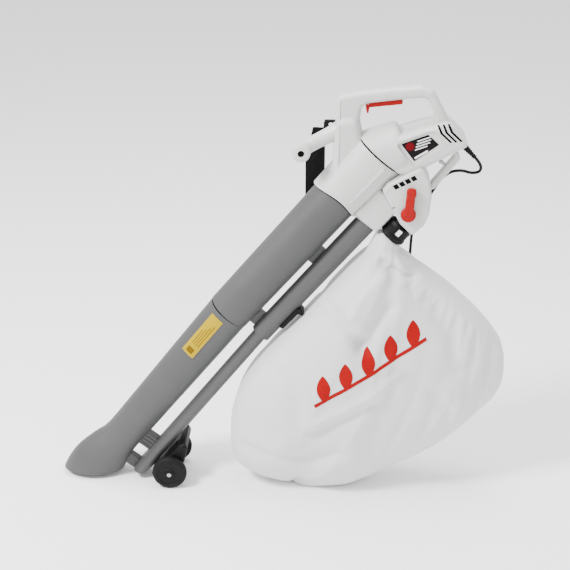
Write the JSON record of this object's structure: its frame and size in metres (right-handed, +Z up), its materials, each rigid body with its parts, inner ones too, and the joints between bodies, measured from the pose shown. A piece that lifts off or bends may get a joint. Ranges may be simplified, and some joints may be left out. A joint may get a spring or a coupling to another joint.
{
  "type": "leaf vacuum mulcher",
  "caption": "Hand-held electric garden blower and vacuum with twin tubes, a wheeled duck-bill nozzle, a fan housing with a top handle, a mode lever and a hanging collection bag.",
  "frame": {"origin": "on the floor under the middle of the machine, the lead left out", "axes": "+Z up, +X from the nozzle towards the motor, -Y is the side with the mode lever"},
  "size_m": [1.042, 0.261, 0.975],
  "materials": {
    "shell_white": "satin moulded plastic",
    "shell_grey": "satin moulded plastic, a shade darker",
    "tube_grey": "satin moulded plastic",
    "black_plastic": "matt moulded plastic",
    "soft_grip": "matt",
    "wheel_black": "matt",
    "red_plastic": "gloss",
    "bag_cloth": "thin woven nylon",
    "webbing": "woven webbing",
    "cord_black": "matt",
    "steel": "brushed",
    "core_steel": "laminated",
    "copper": "enamelled copper wire",
    "fan_aluminium": "cast",
    "carbon": "matt",
    "clip_white": "satin"
  },
  "bodies": {
    "machine": {"front_housing": "shell_white", "fan_housing": "shell_white", "motor_housing_left": "shell_white", "motor_housing_right": "shell_white", "diverter_left": "shell_white", "diverter_right": "shell_white", "blower_adapter": "shell_grey", "handle_left": "shell_white", "handle_right": "shell_white", "upper_vacuum_tube": "tube_grey", "lower_vacuum_tube": "tube_grey", "upper_blower_tube": "tube_grey", "lower_blower_tube": "tube_grey", "blower_joint_ring": "tube_grey", "tube_spacer": "tube_grey", "tube_clip": "tube_grey", "tube_bracket": "tube_grey", "nozzle_strut": "tube_grey", "bag_hook": "black_plastic", "wheel_carriage": "black_plastic", "axle": "steel", "hub_caps": "steel", "trigger_pin": "steel", "trigger_spring": "steel", "switch_body": "black_plastic", "bag_spigot": "black_plastic", "bag_connector": "black_plastic", "aux_handle": "shell_white", "aux_handle_cap": "shell_white", "aux_handle_screw": "steel", "strap_lug": "black_plastic", "shoulder_strap": "webbing", "lower_grip_bar": "shell_white", "strain_relief": "soft_grip", "power_cord": "cord_black", "plug": "black_plastic", "collection_bag": "bag_cloth", "bag_neck": "bag_cloth", "fan_back_plate": "black_plastic", "stator": "core_steel", "field_coils": "copper", "motor_cradle": "black_plastic", "bearings": "steel", "brush_holders": "steel", "carbon_brushes": "carbon"},
    "trigger": {"trigger": "red_plastic"},
    "mode_lever": {"mode_lever": "red_plastic", "flap": "black_plastic"},
    "rotor": {"rotor_shaft": "steel", "impeller": "fan_aluminium", "shredder_blade": "steel", "impeller_nut": "steel", "cooling_fan": "black_plastic", "armature": "core_steel", "armature_winding": "copper", "commutator": "copper"},
    "wheel_left": {"wheel_left": "wheel_black"},
    "wheel_right": {"wheel_right": "wheel_black"},
    "bag_latch": {"bag_latch": "clip_white"}
  },
  "joints": [
    {"name": "trigger_pull", "type": "hinge", "parent": "machine", "child": "trigger", "pos_m": [0.20102, 0.016, 0.937], "axis": [0, -1, 0], "range_deg": [0, 6.5], "stiffness_Nm_per_rad": 2, "springref_deg": -6.88, "deforming": ["trigger_spring"]},
    {"name": "mode_select", "type": "hinge", "parent": "machine", "child": "mode_lever", "pos_m": [0.29283, -0.008, 0.70374], "axis": [0, 1, 0], "range_deg": [0, 75]},
    {"name": "rotor_spin", "type": "hinge", "parent": "machine", "child": "rotor", "pos_m": [0.24552, 0.016, 0.827], "axis": [0.9397, 0, 0.342], "continuous": true},
    {"name": "wheel_left_spin", "type": "hinge", "parent": "machine", "child": "wheel_left", "pos_m": [-0.25298, -0.059, 0.041], "axis": [0, 1, 0], "continuous": true},
    {"name": "wheel_right_spin", "type": "hinge", "parent": "machine", "child": "wheel_right", "pos_m": [-0.25298, 0.067, 0.041], "axis": [0, 1, 0], "continuous": true},
    {"name": "latch_press", "type": "slide", "parent": "machine", "child": "bag_latch", "axis": [0, 1, 0], "range_m": [0, 0.0025], "stiffness_N_per_m": 400, "springref_m": -0.002}
  ]
}
